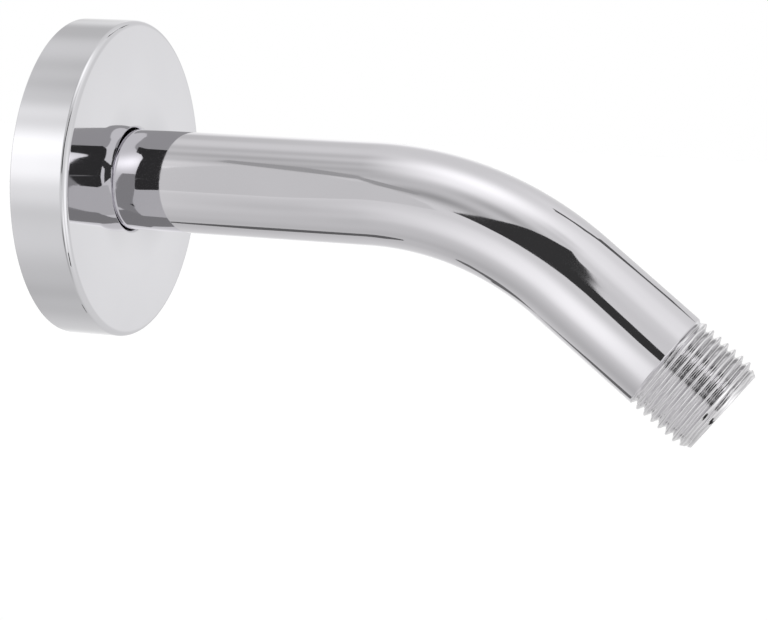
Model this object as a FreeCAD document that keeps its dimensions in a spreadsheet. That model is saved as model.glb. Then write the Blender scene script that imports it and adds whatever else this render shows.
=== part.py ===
import FreeCAD, Part
import math
import os
import Sketcher

# Shower arm: a bent chromed tube with a parallel pipe thread on both ends, a round wall flange
# that slides and turns on its straight run, and the rubber bush that grips the tube inside it.
# The origin is the centre of the flange's back rim, where it meets the wall. +X leaves the wall
# along the straight run, +Z is up, and the outlet bends down in the XZ plane.

SIZES = [
    ("tube_diameter", 20.6, "outside of the plain tube"),
    ("bore_diameter", 15.6, "waterway, the same all the way through"),
    ("inlet_depth", 9.5, "how far the inlet end reaches behind the wall plane"),
    ("straight_run", 63.0, "wall plane to the start of the bend"),
    ("bend_radius", 67.0, "of the tube's centreline"),
    ("bend_angle", 37.5, "degrees, down from the straight run"),
    ("outlet_run", 38.7, "end of the bend to the outlet's tip, thread included"),
    ("mouth_chamfer", 0.5, "inside edge of the bore at both tips"),
    ("thread_diameter", 20.955, "over the crests of the G 1/2 thread"),
    ("thread_pitch", 1.8143, "14 turns to the inch"),
    ("thread_crests", 7, "full crests on each end"),
    ("crest_width", 0.302, "flat top of a crest"),
    ("flank_angle", 27.5, "degrees, half of the 55 degree thread form"),
    ("first_root", 1.6, "tip to the middle of the first root"),
    ("tip_diameter", 18.1, "small end of the tapered lead"),
    ("lead_angle", 30.0, "degrees, taper of the lead"),
    ("flange_diameter", 65.0, "outside of the cup"),
    ("flange_depth", 12.0, "wall plane to the front face"),
    ("sheet_thickness", 0.8, "of the drawn cup"),
    ("rim_radius", 1.2, "outside of the bend from face to side"),
    ("lip_radius", 1.0, "outside of the bend from face to collar"),
    ("collar_depth", 5.4, "front face to the collar's end"),
    ("seal_wall", 0.4, "rubber between tube and collar"),
    ("seal_setback", 1.5, "front face to the rubber's front end"),
    ("seal_foot", 1.2, "thickness of the rubber's foot, behind the collar's end"),
    ("seal_clearance", 0.05, "running gap from rubber to tube and from rubber to collar"),
]

TUBE_R = "Sizes.tube_diameter / 2"
BORE_R = "Sizes.bore_diameter / 2"
CREST_R = "Sizes.thread_diameter / 2"
FLANK_RUN = "(Sizes.thread_pitch - Sizes.crest_width) / 2"
ROOT_R = f"({CREST_R} - {FLANK_RUN} / tan(Sizes.flank_angle * 1deg))"
SEAL_R = "(Sizes.tube_diameter / 2 + Sizes.seal_clearance + Sizes.seal_wall)"
HOLE_R = f"({SEAL_R} + Sizes.seal_clearance)"
COLLAR_END = "(Sizes.flange_depth - Sizes.collar_depth)"
# How far each thread cutter stands outside the crests, so that it cuts cleanly through them
CUTTER_OVERRUN = 0.2

doc = FreeCAD.newDocument("shower_arm")


def make_sheet():
    sheet = doc.addObject("Spreadsheet::Sheet", "Sizes")
    for row, (name, size, meaning) in enumerate(SIZES, start=1):
        sheet.set(f"A{row}", name)
        sheet.set(f"B{row}", str(size))
        sheet.set(f"C{row}", meaning)
        sheet.setAlias(f"B{row}", name)
    doc.recompute()


def value(expression):
    """What an expression on the sheet comes to, as a plain number."""
    return float(doc.getObject("Sizes").evalExpression(expression))


def make_body(name):
    body = doc.addObject("PartDesign::Body", name)
    body.Label = name
    return body


def plane_of(body, role):
    return next(p for p in body.Origin.OriginFeatures if p.Role == role)


def make_sketch(body, name, role="XZ_Plane"):
    sketch = body.newObject("Sketcher::SketchObject", name)
    sketch.AttachmentSupport = [(plane_of(body, role), "")]
    sketch.MapMode = "FlatFace"
    return sketch


def bind(sketch, constraint, expression):
    """Add a constraint whose size follows an expression on the sheet."""
    index = sketch.addConstraint(constraint)
    sketch.setExpression(f"Constraints[{index}]", expression)


def bind_point(sketch, line, end, x, y):
    """Hold one end of a line at the place (x, y), both of them expressions and neither negative."""
    for kind, axis, place in (("DistanceX", -2, x), ("DistanceY", -1, y)):
        if value(place) == 0:
            sketch.addConstraint(Sketcher.Constraint("PointOnObject", line, end, axis))
        else:
            bind(sketch, Sketcher.Constraint(kind, -1, 1, line, end, value(place)), place)


def outline(body, name, corners):
    """A closed outline of straight lines through corners given as pairs of expressions."""
    sketch = make_sketch(body, name)
    places = [FreeCAD.Vector(value(x), value(y), 0) for x, y in corners]
    count = len(corners)
    for i in range(count):
        sketch.addGeometry(Part.LineSegment(places[i], places[(i + 1) % count]))
    for i in range(count):
        sketch.addConstraint(Sketcher.Constraint("Coincident", i, 2, (i + 1) % count, 1))
    for i, (x, y) in enumerate(corners):
        bind_point(sketch, i, 1, x, y)
    return sketch


def circle(body, name, x, y, radius, role="XZ_Plane"):
    """A circle round the place (x, y), with all three given as expressions."""
    sketch = make_sketch(body, name, role)
    centre = FreeCAD.Vector(value(x), value(y), 0)
    sketch.addGeometry(Part.Circle(centre, FreeCAD.Vector(0, 0, 1), value(radius)))
    bind_point(sketch, 0, 3, x, y)
    bind(sketch, Sketcher.Constraint("Radius", 0, value(radius)), radius)
    return sketch


def spin(body, kind, name, sketch):
    """Turn a sketch once round its own horizontal axis, to add material or to cut it."""
    feature = body.newObject(f"PartDesign::{kind}", name)
    feature.Profile = sketch
    feature.ReferenceAxis = (sketch, ["H_Axis"])
    feature.Angle = 360
    doc.recompute()
    return feature


def ring_edges(feature, x, radius):
    """Names of the feature's circular edges round the X axis at the place x, of the given radius."""
    return [
        f"Edge{i}"
        for i, edge in enumerate(feature.Shape.Edges, start=1)
        if isinstance(edge.Curve, Part.Circle)
        and abs(edge.Curve.Radius - radius) < 1e-4
        and abs(edge.Curve.Center.x - x) < 1e-4
    ]


def round_edge(body, name, x, radius, rounding):
    """Round the flange's circular edge at the place x, of the given radius."""
    base = body.Tip
    fillet = body.newObject("PartDesign::Fillet", name)
    fillet.Base = (base, ring_edges(base, value(x), value(radius)))
    fillet.setExpression("Radius", rounding)
    doc.recompute()


def arm_path(body):
    """The tube's centreline: the straight run, the bend and the outlet run, tangent to each other."""
    sketch = make_sketch(body, "centreline")
    start, run = value("Sizes.inlet_depth"), value("Sizes.straight_run")
    radius, turn = value("Sizes.bend_radius"), math.radians(value("Sizes.bend_angle"))
    length = value("Sizes.outlet_run")
    centre = FreeCAD.Vector(run, -radius, 0)
    bend_end = centre + FreeCAD.Vector(radius * math.sin(turn), radius * math.cos(turn), 0)
    tip = bend_end + FreeCAD.Vector(length * math.cos(turn), -length * math.sin(turn), 0)
    bend = Part.Circle(centre, FreeCAD.Vector(0, 0, 1), radius)
    sketch.addGeometry(Part.LineSegment(FreeCAD.Vector(-start, 0, 0), FreeCAD.Vector(run, 0, 0)))
    sketch.addGeometry(Part.ArcOfCircle(bend, math.pi / 2 - turn, math.pi / 2))
    sketch.addGeometry(Part.LineSegment(bend_end, tip))
    sketch.addConstraint(Sketcher.Constraint("PointOnObject", 0, 1, -1))
    sketch.addConstraint(Sketcher.Constraint("PointOnObject", 0, 2, -1))
    sketch.addConstraint(Sketcher.Constraint("Tangent", 0, 2, 1, 2))
    sketch.addConstraint(Sketcher.Constraint("Tangent", 1, 1, 2, 1))
    bind(sketch, Sketcher.Constraint("DistanceX", 0, 1, -1, 1, start), "Sizes.inlet_depth")
    bind(sketch, Sketcher.Constraint("DistanceX", -1, 1, 0, 2, run), "Sizes.straight_run")
    bind(sketch, Sketcher.Constraint("Radius", 1, radius), "Sizes.bend_radius")
    bind(sketch, Sketcher.Constraint("Angle", 1, turn), "Sizes.bend_angle * 1deg")
    bind(sketch, Sketcher.Constraint("Distance", 2, length), "Sizes.outlet_run")
    return sketch


def pipe(body, kind, name, path, radius):
    """Sweep a circle along the centreline, to add the tube or to cut its bore."""
    section = circle(body, f"{name}_section", "0", "0", radius, role="YZ_Plane")
    section.setExpression("AttachmentOffset.Base.z", "-Sizes.inlet_depth")
    doc.recompute()
    sweep = body.newObject(f"PartDesign::{kind}", name)
    sweep.Profile = section
    sweep.Spine = (path, ["Edge1", "Edge2", "Edge3"])
    doc.recompute()


def turn_thread(body, end, place_x, place_z, angle):
    """Turn the thread at one end: a raised blank, its tapered lead, and one root repeated by pitch.

    The sketches lie in the arm's plane, with their origin at the tip and +X into the arm.
    """
    top = f"({FLANK_RUN} + {CUTTER_OVERRUN} * tan(Sizes.flank_angle * 1deg))"
    blank_end = "Sizes.first_root + Sizes.thread_crests * Sizes.thread_pitch"
    outside = f"{CREST_R} + {CUTTER_OVERRUN}"
    lead = f"(({outside} - Sizes.tip_diameter / 2) / tan(Sizes.lead_angle * 1deg))"
    profiles = {
        "blank": [("0", BORE_R), (blank_end, BORE_R), (blank_end, CREST_R), ("0", CREST_R)],
        "lead": [("0", "Sizes.tip_diameter / 2"), (lead, outside), ("0", outside)],
        "root": [
            ("Sizes.first_root", ROOT_R),
            (f"Sizes.first_root + {top}", outside),
            (f"Sizes.first_root - {top}", outside),
        ],
    }
    for part, kind in (("blank", "Revolution"), ("lead", "Groove"), ("root", "Groove")):
        sketch = outline(body, f"{end}_{part}_profile", profiles[part])
        sketch.setExpression("AttachmentOffset.Base.x", place_x)
        sketch.setExpression("AttachmentOffset.Base.y", place_z)
        sketch.setExpression("AttachmentOffset.Rotation.Angle", angle)
        doc.recompute()
        feature = spin(body, kind, f"{end}_{part}", sketch)
    pattern = body.newObject("PartDesign::LinearPattern", f"{end}_roots")
    pattern.Originals = [feature]
    pattern.Direction = (sketch, ["H_Axis"])
    pattern.setExpression("Occurrences", "Sizes.thread_crests + 1")
    pattern.setExpression("Length", "Sizes.thread_crests * Sizes.thread_pitch")
    body.Tip = pattern
    doc.recompute()


def chamfer_mouths(body):
    """Break the bore's inside edge at both tips: the circles of the bore's size that end the tube."""
    base = body.Tip
    names = [
        f"Edge{i}"
        for i, edge in enumerate(base.Shape.Edges, start=1)
        if isinstance(edge.Curve, Part.Circle)
        and abs(edge.Curve.Radius - value(BORE_R)) < 1e-4
        and any(isinstance(face.Surface, Part.Plane) for face in faces_at(base.Shape, edge))
    ]
    chamfer = body.newObject("PartDesign::Chamfer", "mouths")
    chamfer.Base = (base, names)
    chamfer.setExpression("Size", "Sizes.mouth_chamfer")
    doc.recompute()


def faces_at(shape, edge):
    return shape.ancestorsOfType(edge, Part.Face)


def make_arm_tube():
    body = make_body("arm_tube")
    path = arm_path(body)
    pipe(body, "AdditivePipe", "tube", path, TUBE_R)
    turn_thread(body, "inlet", "-Sizes.inlet_depth", "0", "0")
    tip_x = (
        "Sizes.straight_run + Sizes.bend_radius * sin(Sizes.bend_angle * 1deg)"
        " + Sizes.outlet_run * cos(Sizes.bend_angle * 1deg)"
    )
    tip_z = (
        "-Sizes.bend_radius * (1 - cos(Sizes.bend_angle * 1deg))"
        " - Sizes.outlet_run * sin(Sizes.bend_angle * 1deg)"
    )
    turn_thread(body, "outlet", tip_x, tip_z, "180 - Sizes.bend_angle")
    pipe(body, "SubtractivePipe", "bore", path, BORE_R)
    chamfer_mouths(body)


def make_wall_flange():
    """The drawn cup: side, face, and the collar turned in round the tube."""
    body = make_body("wall_flange")
    outer, depth, sheet = "Sizes.flange_diameter / 2", "Sizes.flange_depth", "Sizes.sheet_thickness"
    inside = f"{depth} - {sheet}"
    cup = outline(body, "cup_profile", [
        ("0", f"{outer} - {sheet}"),
        ("0", outer),
        (depth, outer),
        (depth, HOLE_R),
        (COLLAR_END, HOLE_R),
        (COLLAR_END, f"{HOLE_R} + {sheet}"),
        (inside, f"{HOLE_R} + {sheet}"),
        (inside, f"{outer} - {sheet}"),
    ])
    spin(body, "Revolution", "cup", cup)
    round_edge(body, "rim", depth, outer, "Sizes.rim_radius")
    round_edge(body, "lip", depth, HOLE_R, "Sizes.lip_radius")


def make_flange_seal():
    """The rubber bush: a sleeve in the collar, with a foot that seats on the collar's end."""
    body = make_body("flange_seal")
    inner = f"{TUBE_R} + Sizes.seal_clearance"
    front = "Sizes.flange_depth - Sizes.seal_setback"
    foot_front = f"{COLLAR_END} - Sizes.seal_clearance"
    foot_back = f"{foot_front} - Sizes.seal_foot"
    bush = outline(body, "bush_profile", [
        (foot_back, inner),
        (front, inner),
        (front, SEAL_R),
        (foot_front, SEAL_R),
        (foot_front, f"{HOLE_R} + Sizes.sheet_thickness"),
        (foot_back, f"{HOLE_R} + Sizes.sheet_thickness"),
    ])
    spin(body, "Revolution", "bush", bush)


def check_and_write():
    for thing in doc.Objects:
        if {"Invalid", "Error"} & set(thing.State):
            raise RuntimeError(f"{thing.Label} did not recompute: {thing.State}")
    os.makedirs("parts", exist_ok=True)
    for body in doc.findObjects("PartDesign::Body"):
        shape = body.Shape
        if shape.isNull() or not shape.isValid():
            raise RuntimeError(f"{body.Label} has no valid shape")
        shape.exportStep(f"parts/{body.Label}.step")
        print(f"{body.Label}: {len(shape.Solids)} solid, {len(shape.Faces)} faces, {shape.Volume:.1f} mm3")


make_sheet()
make_arm_tube()
make_wall_flange()
make_flange_seal()
doc.recompute()
check_and_write()
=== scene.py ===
"""Dress and light the shower arm: chromed tube with true pipe threads, wall cup and rubber bush."""
import math

import bpy
from mathutils import Matrix, Vector


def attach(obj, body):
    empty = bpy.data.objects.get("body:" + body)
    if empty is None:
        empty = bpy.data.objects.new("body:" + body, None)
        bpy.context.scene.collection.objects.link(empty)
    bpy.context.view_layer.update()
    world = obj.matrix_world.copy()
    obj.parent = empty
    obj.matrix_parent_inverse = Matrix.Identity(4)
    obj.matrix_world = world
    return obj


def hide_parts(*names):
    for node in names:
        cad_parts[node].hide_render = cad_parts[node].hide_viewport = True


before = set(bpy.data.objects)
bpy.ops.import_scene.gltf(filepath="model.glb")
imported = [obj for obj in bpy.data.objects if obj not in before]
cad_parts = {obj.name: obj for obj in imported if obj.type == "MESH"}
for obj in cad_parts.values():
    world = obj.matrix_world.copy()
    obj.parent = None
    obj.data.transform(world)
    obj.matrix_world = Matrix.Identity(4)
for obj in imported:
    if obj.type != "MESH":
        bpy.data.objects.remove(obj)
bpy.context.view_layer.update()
MM = 0.001

# Camera that fits the photograph's outline: angles in degrees, place and lens in millimetres
CAMERA_AZIMUTH, CAMERA_ELEVATION, CAMERA_ROLL = 17.20996512, 6.53305709, 2.51165244
CAMERA_PLACE, SENSOR_WIDTH, LENS = (178.8032, -363.2052, 20.5509), 36.0, 89.9957

# Sizes in millimetres, repeated from the solids
TUBE_R, BORE_R, CREST_R = 10.3, 7.8, 10.4775
INLET_DEPTH, RUN, BEND_R, OUTLET_RUN = 9.5, 63.0, 67.0, 38.7
BEND = math.radians(37.5)
BEND_END = RUN + BEND_R * BEND
LENGTH = BEND_END + OUTLET_RUN
FLANGE_R, FLANGE_DEPTH, SHEET, RIM_R = 32.5, 12.0, 0.8, 1.2
HOLE_R, COLLAR_DEPTH = 10.8, 5.4
FOOT_R = HOLE_R + SHEET

# The cup's lip is drawn in a little tighter than its collar, and its face has a crown and a dip
LIP_R, LIP_IN, LIP_DEPTH, LIP_STEP = 0.6, 10.55, 1.1, 0.2
CROWN_R, CROWN_CURVE, CROWN_RISE = 19.3, 300.0, 0.14
DIP_R, DIP, DIP_POWER = 19.0, 0.8, 1.5
FACE_STEP = 0.5

# The rubber bush: a sleeve round the tube and a foot behind the collar
SEAL_IN, SEAL_OUT, SEAL_FRONT, SEAL_BACK, SEAL_FOOT = 10.35, 10.75, 9.7, 5.35, 1.2

# Pipe thread: 14 to the inch, 55 degree flanks, rounded crests and roots
PITCH, DEPTH, FLANK, ROUNDING = 1.8143, 1.162, math.radians(27.5), 0.2492
FIRST_ROOT, TIP_R, LEAD, CHAMFER = 1.6, 9.05, math.radians(30), 0.5
THREAD_END, THREAD_FADE, RUN_OUT = 14.35, (13.6, 14.9), 0.25

# Segments round each piece, and the rings along the tube: fine ones on the threads, few on plain runs
TUBE_SEGMENTS, CUP_SEGMENTS, BUSH_SEGMENTS = 168, 288, 144
FINE_START, FINE_END, RINGS_PER_PITCH = 0.12, 15.2, 18
RUN_RINGS, OUTLET_RING, BEND_RINGS, BORE_RINGS = (20.0, 40.0), 10.0, 44, 24
# How far the rings that hold an edge, or an end of the bend, stand from it
EDGE_SUPPORT, BEND_SUPPORT = 0.02, 0.2

# Material indices on the tube
PLAIN, THREADED, BORE = 0, 1, 2


def camera():
    """Stand the camera where the photograph's perspective puts it."""
    azimuth, elevation, roll = (math.radians(v) for v in (CAMERA_AZIMUTH, CAMERA_ELEVATION, CAMERA_ROLL))
    right = Vector((math.cos(azimuth), math.sin(azimuth), 0))
    back = Vector((math.sin(azimuth) * math.cos(elevation), -math.cos(azimuth) * math.cos(elevation),
                   math.sin(elevation)))
    turn = Matrix((right, back.cross(right), back)).transposed() @ Matrix.Rotation(roll, 3, "Z")
    data = bpy.data.cameras.new("photo_camera")
    data.sensor_width, data.lens = SENSOR_WIDTH, LENS
    data.clip_start, data.clip_end = 0.01, 50.0
    eye = bpy.data.objects.new("photo_camera", data)
    eye.matrix_world = Matrix.Translation(Vector(CAMERA_PLACE) * MM) @ turn.to_4x4()
    bpy.context.collection.objects.link(eye)
    bpy.context.scene.camera = eye


def mesh_piece(name, points, faces, materials, indices=None):
    """A smooth-shaded object from points in millimetres, with a material index for each face."""
    mesh = bpy.data.meshes.new(name)
    mesh.from_pydata([Vector(p) * MM for p in points], [], faces)
    for material in materials:
        mesh.materials.append(material)
    if indices:
        mesh.polygons.foreach_set("material_index", indices)
    mesh.polygons.foreach_set("use_smooth", [True] * len(mesh.polygons))
    mesh.update()
    piece = bpy.data.objects.new(name, mesh)
    bpy.context.collection.objects.link(piece)
    return piece


def smooth_step(low, high, value):
    t = min(max((value - low) / (high - low), 0.0), 1.0)
    return t * t * (3 - 2 * t)


def rounded(corners, support=0.04, step=9.0):
    """Points of a closed outline of (x, r, radius) corners, with arcs and support points beside them.

    Step is about how many degrees one piece of an arc turns, and support is how far off those points are.
    """
    points = []
    count = len(corners)
    for i, (x, r, radius) in enumerate(corners):
        here = Vector((x, r))
        before = (Vector(corners[i - 1][:2]) - here).normalized()
        after = (Vector(corners[(i + 1) % count][:2]) - here).normalized()
        half = before.angle(after) / 2
        reach = radius / math.tan(half)
        centre = here + (before + after).normalized() * radius / math.sin(half)
        start, end = here + before * reach - centre, here + after * reach - centre
        sweep = math.pi - 2 * half
        if start.cross(end) < 0:
            sweep = -sweep
        steps = max(4, round(abs(math.degrees(sweep)) / step))
        points.append(here + before * (reach + support))
        for k in range(steps + 1):
            a = sweep * k / steps
            points.append(centre + Vector((start.x * math.cos(a) - start.y * math.sin(a),
                                           start.x * math.sin(a) + start.y * math.cos(a))))
        points.append(here + after * (reach + support))
    return points


def crowned(outline):
    """Give the cup's face its slight press-formed crown and the dip round its hole."""
    shaped = []
    for i, point in enumerate(outline):
        following = outline[(i + 1) % len(outline)]
        steps = 1
        if min(point.x, following.x) > FLANGE_DEPTH - SHEET - 0.01:
            steps = max(1, round((following - point).length / FACE_STEP))
        shaped += [point.lerp(following, k / steps) for k in range(steps)]
    for point in shaped:
        if point.x > FLANGE_DEPTH - 2 * SHEET:
            r = min(point.y, FLANGE_R - RIM_R)
            dip = DIP * max((DIP_R - r) / (DIP_R - HOLE_R), 0.0) ** DIP_POWER
            point.x += CROWN_RISE - (r - CROWN_R) ** 2 / (2 * CROWN_CURVE) - dip
    return shaped


def ring_faces(rings, segments):
    """Four-sided faces between neighbouring rings of points, the last ring joined to the first."""
    faces = []
    for i in range(rings):
        low, high = i * segments, (i + 1) % rings * segments
        for j in range(segments):
            k = (j + 1) % segments
            faces.append((low + j, low + k, high + k, high + j))
    return faces


def revolved(name, outline, segments, material):
    """Turn a closed outline of (x, r) points about the X axis."""
    points = []
    for x, r in outline:
        for j in range(segments):
            a = 2 * math.pi * j / segments
            points.append((x, r * math.sin(a), r * math.cos(a)))
    return mesh_piece(name, points, ring_faces(len(outline), segments), [material])


def thread_depth(crest_distance):
    """Depth below the crests at a distance along the axis from the nearest crest."""
    edge = ROUNDING * math.cos(FLANK)
    if crest_distance < edge:
        return ROUNDING - math.sqrt(ROUNDING ** 2 - crest_distance ** 2)
    root_distance = PITCH / 2 - crest_distance
    if root_distance < edge:
        return DEPTH - ROUNDING + math.sqrt(ROUNDING ** 2 - root_distance ** 2)
    return ROUNDING * (1 - math.sin(FLANK)) + (crest_distance - edge) / math.tan(FLANK)


def end_radius(depth, angle):
    """Outside radius at a depth from a tip and an angle round it, for a right-hand thread."""
    turns = (depth - FIRST_ROOT) / PITCH + angle / (2 * math.pi)
    offset = (turns - math.floor(turns + 0.5)) * PITCH
    fade = 1 - smooth_step(*THREAD_FADE, depth - offset)
    past = min(max((depth - THREAD_END + RUN_OUT) / RUN_OUT, 0.0), 1.0)
    radius = CREST_R + (TUBE_R - CREST_R) * past - fade * thread_depth(PITCH / 2 - abs(offset))
    return min(radius, TIP_R + depth * math.tan(LEAD))


def end_rings():
    """Rings of a threaded end as (depth from the tip, radius), with None where the thread sets the radius."""
    # The tip is flat from the mouth's chamfer to a small rounding at its outer edge
    tip = [(0.0, CHAMFER + BORE_R + 0.05), (0.0, TIP_R - 0.16), (0.0, TIP_R - 0.12), (0.015, TIP_R - 0.05),
           (0.06, None)]
    spacing = PITCH / RINGS_PER_PITCH
    depths = [FINE_START + spacing * i for i in range(int(FINE_END / spacing))]
    depths += [THREAD_END - RUN_OUT, THREAD_END - RUN_OUT + EDGE_SUPPORT]
    depths += [THREAD_END - EDGE_SUPPORT, THREAD_END, THREAD_END + EDGE_SUPPORT]
    return tip + [(depth, None) for depth in sorted(depths)]


def arm_tube(materials):
    """The bent tube: thread, straight run, bend, outlet and thread outside, and the bore inside."""
    end = end_rings()
    outside = [*RUN_RINGS, RUN - BEND_SUPPORT, RUN + BEND_SUPPORT]
    outside += [RUN + (BEND_END - RUN) * i / BEND_RINGS for i in range(BEND_RINGS + 1)]
    outside += [BEND_END - BEND_SUPPORT, BEND_END + BEND_SUPPORT, BEND_END + OUTLET_RING]
    mouth = [(0.0, CHAMFER + BORE_R), (EDGE_SUPPORT, CHAMFER + BORE_R - EDGE_SUPPORT),
             (CHAMFER - EDGE_SUPPORT, BORE_R + EDGE_SUPPORT), (CHAMFER, BORE_R),
             (CHAMFER + 2 * EDGE_SUPPORT, BORE_R)]
    inside = [RUN_RINGS[0], BEND_END]
    inside += [RUN + (BEND_END - RUN) * i / BORE_RINGS for i in range(BORE_RINGS)]

    # Each row is a ring: place along the centreline, radius, the threaded end it is on, and if it is inside
    rows = [(-INLET_DEPTH + depth, radius, -1, False) for depth, radius in end]
    rows += [(s, TUBE_R, 0, False) for s in sorted(outside)]
    rows += [(LENGTH - depth, radius, 1, False) for depth, radius in reversed(end)]
    rows += [(LENGTH - depth, radius, 0, True) for depth, radius in mouth]
    rows += [(s, BORE_R, 0, True) for s in sorted(inside, reverse=True)]
    rows += [(-INLET_DEPTH + depth, radius, 0, True) for depth, radius in reversed(mouth)]

    points, indices = [], []
    for i, (s, radius, side, in_bore) in enumerate(rows):
        angle = min(max((s - RUN) / BEND_R, 0.0), BEND)
        beyond = max(s - BEND_END, 0.0)
        x = min(s, RUN) + BEND_R * math.sin(angle) + beyond * math.cos(angle)
        z = -BEND_R * (1 - math.cos(angle)) - beyond * math.sin(angle)
        depth = LENGTH - s if side > 0 else s + INLET_DEPTH
        for j in range(TUBE_SEGMENTS):
            a = 2 * math.pi * j / TUBE_SEGMENTS
            r = radius if radius is not None else end_radius(depth, a * side)
            up = r * math.cos(a)
            points.append((x + up * math.sin(angle), -r * math.sin(a), z + up * math.cos(angle)))
        in_thread = min(s + INLET_DEPTH, LENGTH - s) < THREAD_END
        index = THREADED if in_thread else PLAIN
        if in_bore or rows[(i + 1) % len(rows)][3]:
            index = BORE
        indices += [index] * TUBE_SEGMENTS
    return mesh_piece("shower_arm_tube", points, ring_faces(len(rows), TUBE_SEGMENTS), materials, indices)


def wall_cup(material):
    """The drawn sheet cup: side, face, tight lip and collar."""
    lip_end, collar_end, inside = FLANGE_DEPTH - LIP_DEPTH, FLANGE_DEPTH - COLLAR_DEPTH, FLANGE_DEPTH - SHEET
    cut_edge, lip_edge, collar_root, side_root = 0.2, 0.08, 0.3, 0.4
    return revolved("wall_cup", crowned(rounded([
        (0.0, FLANGE_R, cut_edge), (FLANGE_DEPTH, FLANGE_R, RIM_R), (FLANGE_DEPTH, LIP_IN, LIP_R),
        (lip_end, LIP_IN, lip_edge), (lip_end - LIP_STEP, HOLE_R, lip_edge),
        (collar_end, HOLE_R, cut_edge), (collar_end, HOLE_R + SHEET, cut_edge),
        (inside, HOLE_R + SHEET, collar_root), (inside, FLANGE_R - SHEET, side_root),
        (0.0, FLANGE_R - SHEET, cut_edge)])), CUP_SEGMENTS, material)


def rubber_bush(material):
    """The bush: a thin sleeve in the collar, and the foot that seats on the collar's end."""
    foot_front = SEAL_BACK + SEAL_FOOT
    back_edge, front_edge, foot_root, foot_edge = 0.15, 0.12, 0.1, 0.25
    return revolved("rubber_bush", rounded([
        (SEAL_BACK, SEAL_IN, back_edge), (SEAL_FRONT, SEAL_IN, front_edge),
        (SEAL_FRONT, SEAL_OUT, front_edge), (foot_front, SEAL_OUT, foot_root),
        (foot_front, FOOT_R, foot_edge), (SEAL_BACK, FOOT_R, foot_edge)],
        support=0.02, step=15.0), BUSH_SEGMENTS, material)


def feed(tree, value, socket):
    """Give a socket a plain number, or another node's output."""
    if isinstance(value, (int, float)):
        socket.default_value = value
    else:
        tree.links.new(value, socket)


def math_node(tree, operation, *values):
    node = tree.nodes.new("ShaderNodeMath")
    node.operation = operation
    for value, socket in zip(values, node.inputs):
        feed(tree, value, socket)
    return node.outputs[0]


def dot_product(tree, place, axis):
    node = tree.nodes.new("ShaderNodeVectorMath")
    node.operation = "DOT_PRODUCT"
    node.inputs[1].default_value = axis
    tree.links.new(place, node.inputs[0])
    return node.outputs["Value"]


def node_material(name):
    material = bpy.data.materials.new(name)
    material.use_nodes = True
    tree = material.node_tree
    return material, tree, tree.nodes["Principled BSDF"]


def noise(tree, scale, detail=2.0):
    """Soft noise in the object's own space, its scale counted per metre."""
    place = tree.nodes.new("ShaderNodeTexCoord")
    texture = tree.nodes.new("ShaderNodeTexNoise")
    texture.inputs["Scale"].default_value = scale
    texture.inputs["Detail"].default_value = detail
    tree.links.new(place.outputs["Object"], texture.inputs["Vector"])
    return texture.outputs["Fac"]


def spread(tree, value, low, high, target):
    """Send a noise value to a socket, from low to high."""
    ramp = tree.nodes.new("ShaderNodeMapRange")
    ramp.inputs["From Min"].default_value, ramp.inputs["From Max"].default_value = 0.3, 0.7
    ramp.inputs["To Min"].default_value, ramp.inputs["To Max"].default_value = low, high
    tree.links.new(value, ramp.inputs["Value"])
    tree.links.new(ramp.outputs["Result"], target)


def tint(tree, value, dark, light, target):
    """Send a noise value to a colour socket, from a dark colour to a light one."""
    ramp = tree.nodes.new("ShaderNodeValToRGB")
    ramp.color_ramp.elements[0].position, ramp.color_ramp.elements[1].position = 0.3, 0.7
    ramp.color_ramp.elements[0].color, ramp.color_ramp.elements[1].color = (*dark, 1), (*light, 1)
    tree.links.new(value, ramp.inputs["Fac"])
    tree.links.new(ramp.outputs["Color"], target)


def bump(tree, shader, value, strength, distance):
    node = tree.nodes.new("ShaderNodeBump")
    node.inputs["Strength"].default_value = strength
    node.inputs["Distance"].default_value = distance
    tree.links.new(value, node.inputs["Height"])
    tree.links.new(node.outputs["Normal"], shader.inputs["Normal"])


def chrome(name, dark, light, rough, wave):
    """Plated metal: faint clouding in its colour and polish, and slow waves from buffing."""
    material, tree, shader = node_material(name)
    shader.inputs["Metallic"].default_value = 1.0
    tint(tree, noise(tree, 60.0), dark, light, shader.inputs["Base Color"])
    spread(tree, noise(tree, 140.0, 4.0), *rough, shader.inputs["Roughness"])
    bump(tree, shader, noise(tree, 45.0, 1.0), wave, 0.0002)
    return material


def turned(name, dark, light, rough, line_width, wave):
    """Plated thread: fine rings left by the cutting tool, darker and lighter along each thread's axis."""
    material, tree, shader = node_material(name)
    shader.inputs["Metallic"].default_value = 1.0
    place = tree.nodes.new("ShaderNodeTexCoord").outputs["Object"]
    split = tree.nodes.new("ShaderNodeSeparateXYZ")
    tree.links.new(place, split.inputs[0])
    along = dot_product(tree, place, (math.cos(BEND), 0, -math.sin(BEND)))
    inlet = math_node(tree, "LESS_THAN", split.outputs["X"], RUN * MM / 2)
    outlet = math_node(tree, "SUBTRACT", 1.0, inlet)
    station = math_node(tree, "ADD", math_node(tree, "MULTIPLY", split.outputs["X"], inlet),
                        math_node(tree, "MULTIPLY", along, outlet))
    # The rings wander by some radians, and the sine is brought to the range that noise has
    wander = math_node(tree, "MULTIPLY", noise(tree, 260.0), 9.0)
    ring = math_node(tree, "MULTIPLY", station, 2 * math.pi / (line_width * MM))
    wave_line = math_node(tree, "SINE", math_node(tree, "ADD", ring, wander))
    lines = math_node(tree, "MULTIPLY_ADD", wave_line, 0.2, 0.5)
    tint(tree, lines, dark, light, shader.inputs["Base Color"])
    spread(tree, noise(tree, 140.0, 4.0), *rough, shader.inputs["Roughness"])
    bump(tree, shader, lines, wave, 0.00004)
    return material


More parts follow.
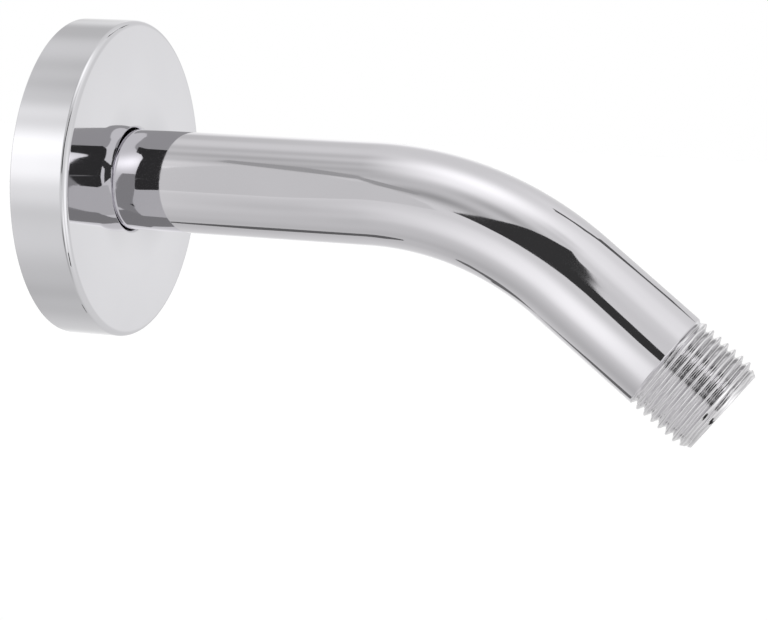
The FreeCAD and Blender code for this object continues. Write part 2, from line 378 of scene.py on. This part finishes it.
def rubber(name):
    """Matt black rubber with a fine moulded grain."""
    material, tree, shader = node_material(name)
    dark, light = (0.012, 0.012, 0.013), (0.03, 0.03, 0.031)
    tint(tree, noise(tree, 900.0, 3.0), dark, light, shader.inputs["Base Color"])
    spread(tree, noise(tree, 2500.0), 0.55, 0.75, shader.inputs["Roughness"])
    bump(tree, shader, noise(tree, 4000.0, 3.0), 0.4, 0.00005)
    return material


# Soft boxes and flags of the studio as the metal sees them: azimuth, elevation, width in degrees, strength
BASE_LIGHT = 0.66
SOFT_BOXES = [
    (25, 80, 17, 0.5), (-3, 60, 9, 0.16), (-33, 20, 12, 0.58), (-160, 16, 13, 0.34), (-159, -12, 13, 0.28),
    (-30, -28, 12, 0.05), (-45, -38, 12, 0.08), (60, 50, 14, 0.14), (100, 56, 18, 0.15), (155, -3, 14, 0.15),
    (-28, 3, 9, 0.31), (-38, 42, 7, 0.22), (-52, 55, 8, 0.08), (-75, -62, 12, 0.08), (-112, -62, 9, 0.08),
    (-165, 12, 7, 0.1), (-28, -12, 7, 0.12), (20, 65, 12, 0.05), (150, 50, 12, 0.08), (72, -12, 22, 0.45),
]
SOFT_FLAGS = [
    (-23, 40, 9, -0.18), (-12, 22, 10, -0.34), (-33, 50, 7, -0.22), (-48, 61, 8, -0.22), (-85, 70, 9, -0.2),
    (8, 42, 10, -0.24), (36, 53, 7, -0.14), (52, 59, 5, -0.15), (-95, -60, 25, -0.24), (-147, 36, 8, -0.14),
    (-140, 47, 8, -0.12), (-150, 16, 7, -0.24), (-10, -40, 12, -0.46), (-10, -62, 12, -0.21),
    (-25, -22, 11, -0.06), (-50, 60, 7, -0.07),
]
# The same for light that reaches the camera over two mirrors, from the side that the flange faces
NEAR_LIGHT = 0.62
NEAR_BOXES = [(52, 32, 14, 0.6), (152, -20, 14, 0.35)]
# The plain level that matt surfaces get, and how much the floor is lifted to white for the camera
PLAIN_LIGHT, FLOOR_LIFT = 0.6, 0.26
FLOOR_REACH, FLOOR_LEVEL = 6.0, -0.16


def direction(azimuth, elevation):
    """A unit vector: azimuth 0 is the side the camera is on, and 90 the side the outlet points to."""
    a, e = math.radians(azimuth), math.radians(elevation)
    return Vector((math.sin(a) * math.cos(e), -math.cos(a) * math.cos(e), math.sin(e)))


def seen_directly(tree):
    """1 for light that goes straight to the camera or through glass."""
    ray = tree.nodes.new("ShaderNodeLightPath")
    return math_node(tree, "MAXIMUM", ray.outputs["Is Camera Ray"], ray.outputs["Is Transmission Ray"])


def mirrors(tree, operation):
    """1 for light over at most one mirror with LESS_THAN, and over two or more with GREATER_THAN."""
    ray = tree.nodes.new("ShaderNodeLightPath")
    return math_node(tree, operation, ray.outputs["Glossy Depth"], 1.5)


def white(tree, node, strength):
    """Make a background or emission node white, its strength a number or another node's output."""
    node.inputs["Color"].default_value = (1, 1, 1, 1)
    feed(tree, strength, node.inputs["Strength"])
    return node.outputs[0]


def background(tree, strength):
    return white(tree, tree.nodes.new("ShaderNodeBackground"), strength)


def emission(tree, strength):
    return white(tree, tree.nodes.new("ShaderNodeEmission"), strength)


def mix(tree, factor, first, second):
    node = tree.nodes.new("ShaderNodeMixShader")
    for socket, source in zip(node.inputs, (factor, first, second)):
        tree.links.new(source, socket)
    return node.outputs[0]


def soft_boxes(tree, base, boxes):
    """The level of light from each direction: a base level and round boxes that fade at their edges."""
    place = tree.nodes.new("ShaderNodeTexCoord").outputs["Generated"]
    total = base
    for azimuth, elevation, width, strength in boxes:
        sharpness = 2 / math.radians(width) ** 2
        along = dot_product(tree, place, direction(azimuth, elevation))
        fall = math_node(tree, "MULTIPLY_ADD", along, sharpness, -sharpness)
        total = math_node(tree, "MULTIPLY_ADD", math_node(tree, "EXPONENT", fall), strength, total)
    return math_node(tree, "MAXIMUM", total, 0.0)


def studio_world():
    """White to the camera, soft boxes to metal, a plain level to everything else."""
    world = bpy.data.worlds.new("studio")
    world.use_nodes = True
    bpy.context.scene.world = world
    tree = world.node_tree
    tree.nodes.clear()
    ray = tree.nodes.new("ShaderNodeLightPath")
    once = background(tree, soft_boxes(tree, BASE_LIGHT, SOFT_BOXES + SOFT_FLAGS))
    twice = background(tree, soft_boxes(tree, NEAR_LIGHT, NEAR_BOXES))
    in_metal = mix(tree, mirrors(tree, "GREATER_THAN"), once, twice)
    lit = mix(tree, ray.outputs["Is Glossy Ray"], background(tree, PLAIN_LIGHT), in_metal)
    surface = mix(tree, seen_directly(tree), lit, background(tree, 1.0))
    tree.links.new(surface, tree.nodes.new("ShaderNodeOutputWorld").inputs["Surface"])


def light_material(name):
    """A material with nothing in it yet but its output."""
    material = bpy.data.materials.new(name)
    material.use_nodes = True
    tree = material.node_tree
    tree.nodes.clear()
    return material, tree, tree.nodes.new("ShaderNodeOutputMaterial").inputs["Surface"]


def metal_only(panel):
    """Hide a panel of the studio from all but the reflections in metal."""
    bpy.context.collection.objects.link(panel)
    panel.visible_camera = panel.visible_diffuse = panel.visible_shadow = False
    panel.visible_transmission = panel.visible_volume_scatter = False


def card(name, outline, strength, near=False, distance=12.0):
    """A flag or panel that only metal sees, from its (azimuth, elevation) corners.

    A near one is there only for light that comes over two mirrors. The distance is in metres, and a card
    that is closer covers those behind it.
    """
    material, tree, output = light_material(name)
    surface = emission(tree, strength)
    if near:
        clear = tree.nodes.new("ShaderNodeBsdfTransparent").outputs[0]
        surface = mix(tree, mirrors(tree, "GREATER_THAN"), clear, surface)
    tree.links.new(surface, output)
    mesh = bpy.data.meshes.new(name)
    mesh.from_pydata([direction(*corner) * distance for corner in outline], [],
                     [tuple(range(len(outline)))])
    mesh.materials.append(material)
    panel = bpy.data.objects.new(name, mesh)
    metal_only(panel)


def near_glow(name, aim, azimuth, elevation, distance, reach, turn, strength):
    """A soft oval light close to the aim that fades to nothing at its edge, and that only metal sees.

    Aim, distance and reach are in millimetres, azimuth and elevation in degrees, and turn in radians.
    """
    material, tree, output = light_material(name)
    length = tree.nodes.new("ShaderNodeVectorMath")
    length.operation = "LENGTH"
    tree.links.new(tree.nodes.new("ShaderNodeTexCoord").outputs["Object"], length.inputs[0])
    fade = tree.nodes.new("ShaderNodeMapRange")
    fade.interpolation_type = "SMOOTHSTEP"
    fade.inputs["To Min"].default_value, fade.inputs["To Max"].default_value = strength, 0.0
    tree.links.new(length.outputs["Value"], fade.inputs["Value"])
    level = math_node(tree, "MULTIPLY", fade.outputs["Result"], mirrors(tree, "LESS_THAN"))
    both = tree.nodes.new("ShaderNodeAddShader")
    tree.links.new(tree.nodes.new("ShaderNodeBsdfTransparent").outputs[0], both.inputs[0])
    tree.links.new(emission(tree, level), both.inputs[1])
    tree.links.new(both.outputs[0], output)

    mesh = bpy.data.meshes.new(name)
    mesh.from_pydata([(-1, -1, 0), (1, -1, 0), (1, 1, 0), (-1, 1, 0)], [], [(0, 1, 2, 3)])
    mesh.materials.append(material)
    toward = direction(azimuth, elevation)
    side = toward.cross(Vector((0, 0, 1))).normalized()
    up = side.cross(toward)
    long_axis = side * math.cos(turn) + up * math.sin(turn)
    short_axis = up * math.cos(turn) - side * math.sin(turn)
    axes = Matrix((long_axis * reach[0], short_axis * reach[1], toward)).transposed() * MM
    glow = bpy.data.objects.new(name, mesh)
    glow.matrix_world = Matrix.Translation((Vector(aim) + toward * distance) * MM) @ axes.to_4x4()
    metal_only(glow)


def studio_floor():
    """A pale floor below the arm that is white to the camera and still takes the arm's shadow."""
    material, tree, shader = node_material("floor_paper")
    shader.inputs["Base Color"].default_value = (0.9, 0.9, 0.9, 1)
    shader.inputs["Roughness"].default_value = 1.0
    shader.inputs["Specular IOR Level"].default_value = 0.0
    shader.inputs["Emission Color"].default_value = (1, 1, 1, 1)
    lift = math_node(tree, "MULTIPLY", seen_directly(tree), FLOOR_LIFT)
    tree.links.new(lift, shader.inputs["Emission Strength"])
    mesh = bpy.data.meshes.new("studio_floor")
    square = [(-1, -1), (1, -1), (1, 1), (-1, 1)]
    corners = [(x * FLOOR_REACH, y * FLOOR_REACH, FLOOR_LEVEL) for x, y in square]
    mesh.from_pydata(corners, [], [(0, 1, 2, 3)])
    mesh.materials.append(material)
    floor = bpy.data.objects.new("studio_floor", mesh)
    bpy.context.collection.objects.link(floor)
    floor.visible_glossy = False


def lamp(name, azimuth, elevation, spread_angle, level):
    """Broad soft light for matt surfaces; level is what it adds to a white surface that faces it."""
    data = bpy.data.lights.new(name, "SUN")
    data.angle = math.radians(spread_angle)
    data.energy = level * math.pi
    light = bpy.data.objects.new(name, data)
    light.matrix_world = direction(azimuth, elevation).to_track_quat("Z", "Y").to_matrix().to_4x4()
    light.visible_glossy = False
    bpy.context.collection.objects.link(light)


def front_cards():
    """The dark parts on the camera's side, which make the lens on the bend, and a low gap further right."""
    card("camera_opening", [
        (-12.3, 5), (-11, 8), (-6, 18), (0.3, 27.2), (6.3, 34.2), (13, 39.7), (20.5, 43.4),
        (27.5, 45.4), (35, 47), (32.4, 44.2), (29.3, 39.8), (21.6, 32.8), (15.2, 26.4), (11.5, 21.8),
        (10.3, 19), (3, 10), (-3, 6.5), (-7, 4.4), (-10.5, 3.2)
    ], strength=0.036)
    card("dark_room", [
        (0.5, 5), (0.5, 9), (6, 14), (10.3, 20), (11.7, 22), (11.3, 17), (12, -8), (10, -5), (4, 4)
    ], strength=0.036)
    card("tip_gap", [
        (35, -47), (54, -43), (58, -52), (36, -57)
    ], strength=0.03)


def near_cards():
    """What the metal sees over two mirrors, where tube and flange reflect each other."""
    card("dark_front", [
        (15.5, -13.5), (20, -16.5), (26, -18), (30.5, -17), (30.5, -8), (31, 0), (32.5, 8), (33.5, 14),
        (34.5, 20), (35.5, 27), (36.5, 31), (38, 35), (39.5, 39), (40, 42.5), (42, 46), (46, 47.5),
        (50, 48), (60, 48), (70, 46.5), (90, 49.5), (80, 55), (72, 61), (66, 66), (58, 68), (40, 68),
        (32, 68), (25, 66), (20, 62), (16, 55), (14.5, 48), (15.5, 35), (16.5, 20), (17, 5), (16, -5)
    ], strength=0.03, near=True)
    card("front_line", [
        (21, 7.2), (23.5, 6), (26, 5), (29, 3.2), (32, 1.2), (32.3, 2.6), (29, 4.8), (26, 6.6),
        (23.5, 7.6), (21, 8.8)
    ], strength=0.2, near=True, distance=11.5)
    card("grey_top", [
        (62, 47), (90, 47), (115, 44), (130, 36), (137, 26), (142, 12), (142, 4), (168, 4), (168, 30),
        (160, 50), (150, 65), (120, 82), (70, 82), (40, 78), (30, 70)
    ], strength=0.33, near=True, distance=12.6)
    card("grey_low", [
        (75, -49), (100, -47), (120, -42), (133, -33), (141, -36), (146, -50), (150, -62), (140, -75),
        (110, -78), (85, -74), (84, -62)
    ], strength=0.22, near=True, distance=12.6)
    card("soft_low", [
        (8, -12), (20, -15), (32, -17), (36, -27), (44, -38), (58, -50), (72, -57), (84, -62),
        (85, -74), (60, -78), (30, -75), (8, -60)
    ], strength=0.48, near=True, distance=12.6)
    card("ring_grey", [
        (31, -17), (30, -8), (30, 0), (32, 9), (34, 13), (46, 12), (46, 0), (47, -15), (54, -30),
        (66, -42), (75, -49), (84, -62), (72, -57), (58, -50), (44, -38), (36, -27)
    ], strength=0.25, near=True, distance=12.9)


def side_cards():
    """The panel left of the camera with its darker edge, and gaps that draw thin lines along the tube."""
    card("side_panel", [
        (-31, 45), (-27.5, 41), (-25, 38), (-22.5, 33), (-20, 26.5), (-17, 21.5), (-15.3, 18),
        (-14.2, 12), (-14, 4), (-15, -2), (-18, -10), (-21, -16), (-25, -16), (-25, 0), (-25.5, 15),
        (-28, 30)
    ], strength=0.585)
    card("panel_edge", [
        (-40, 54.5), (-31, 49.5), (-26, 43.5), (-21, 35), (-16, 27.5), (-12, 22), (-13, 17),
        (-15.3, 19), (-17, 22), (-18.5, 26), (-21, 31.5), (-24, 37), (-26.5, 40.5), (-30, 44.5),
        (-36, 50)
    ], strength=0.34, distance=12.2)
    card("back_gap", [
        (144.5, 57), (144.5, 52), (143, 49.5), (146.8, 43), (150, 39.5), (152, 37), (152.4, 34),
        (151.5, 30.5), (158.5, 27.5), (158, 33), (156, 36.5), (152.5, 39.8), (150.5, 44.5),
        (149.8, 49), (151.5, 54)
    ], strength=0.1)
    card("low_gap", [
        (-113, -64), (-120, -62.3), (-131, -61.7), (-134, -65.5), (-127, -70), (-118, -71), (-114, -68)
    ], strength=0.12)
    card("low_gap_outlet", [
        (-128.5, -44.5), (-131, -40.5), (-134.5, -37.5), (-137, -34.5), (-146, -33.5), (-141, -38),
        (-137, -42.5), (-133.5, -47.2), (-129, -50.8), (-124.5, -52.5), (-123.5, -51), (-127, -48)
    ], strength=0.14)


camera()
polished = chrome("polished_chrome", dark=(0.865, 0.85, 0.883), light=(0.887, 0.872, 0.905),
                  rough=(0.025, 0.05), wave=0.02)
threaded = turned("turned_chrome", dark=(0.8, 0.79, 0.81), light=(0.99, 0.98, 0.995),
                  rough=(0.05, 0.1), line_width=0.62, wave=0.7)
bore = chrome("bore_brass", dark=(0.42, 0.4, 0.36), light=(0.5, 0.48, 0.44), rough=(0.3, 0.45), wave=0.3)
pressed = chrome("pressed_chrome", dark=(0.865, 0.86, 0.888), light=(0.887, 0.882, 0.91),
                 rough=(0.03, 0.055), wave=0.02)

tube = arm_tube([polished, threaded, bore])
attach(tube, "arm")
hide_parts("arm_tube")

cup = wall_cup(pressed)
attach(cup, "flange")
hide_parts("wall_flange")

bush = rubber_bush(rubber("seal_rubber"))
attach(bush, "seal")
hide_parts("flange_seal")

studio_world()
studio_floor()
lamp("key_light", azimuth=-35, elevation=58, spread_angle=40, level=0.2)
lamp("fill_light", azimuth=60, elevation=50, spread_angle=60, level=0.1)
near_glow("outlet_glow", aim=(113.6, -9, -6.8), azimuth=-26, elevation=-27.6, distance=140,
          reach=(81, 56.6), turn=-0.7, strength=0.39)
front_cards()
near_cards()
side_cards()

scene = bpy.context.scene
scene.view_settings.view_transform = "Standard"
